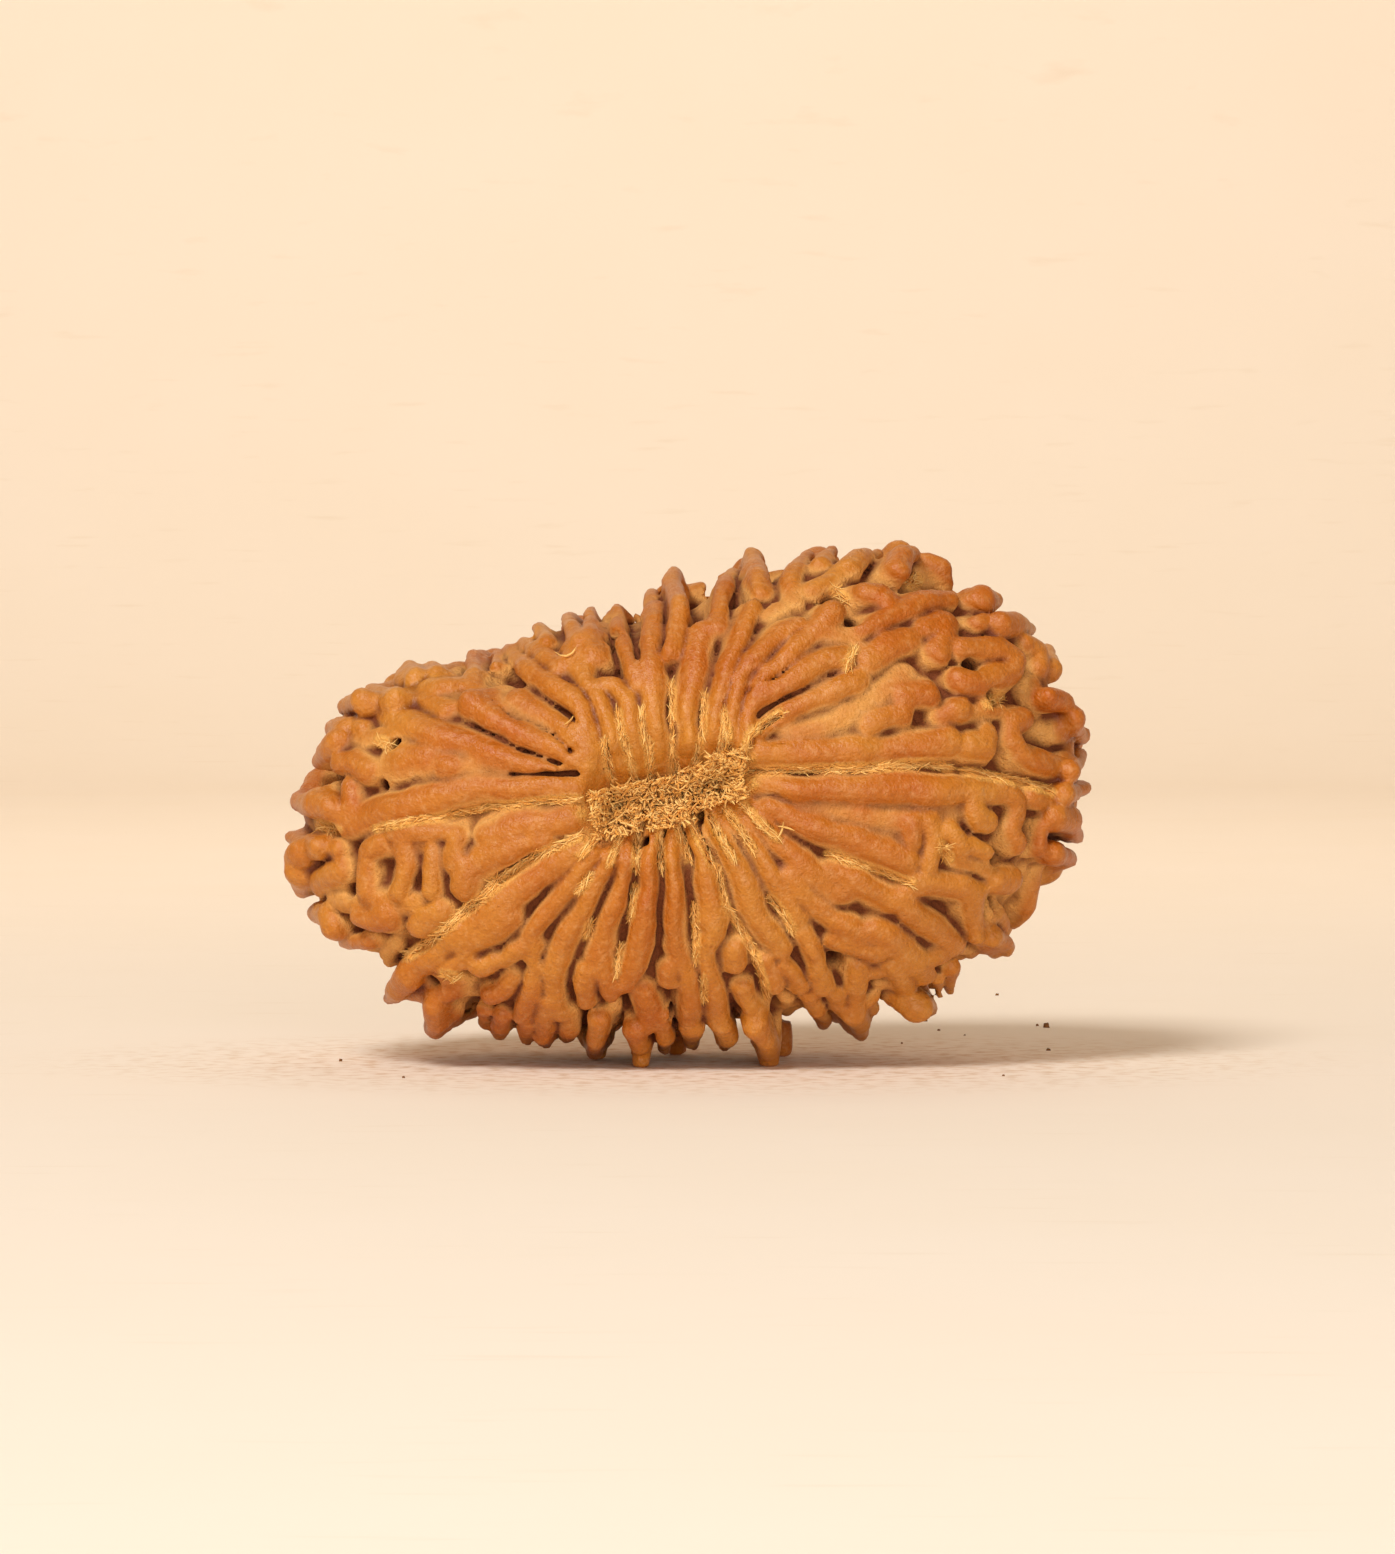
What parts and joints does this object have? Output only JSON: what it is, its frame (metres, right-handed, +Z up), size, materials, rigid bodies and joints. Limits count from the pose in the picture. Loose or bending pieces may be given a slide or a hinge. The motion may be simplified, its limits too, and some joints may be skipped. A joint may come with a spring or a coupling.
{
  "type": "rudraksha bead stone",
  "caption": "Oblong ridged and knobbed seed stone of a rudraksha fruit, standing on its rim, to string, set or display as a bead.",
  "frame": {"origin": "on the surface the stone stands on, under the middle of its bounding box", "axes": "+Z up, +X along the long side towards the larger end, -Y out of the front mouth"},
  "size_m": [0.0358, 0.0194, 0.023],
  "materials": {
    "stone_wood": "natural, satin on the ridges and dusty in the hollows"
  },
  "bodies": {
    "root": {"stone": "stone_wood"}
  },
  "joints": []
}
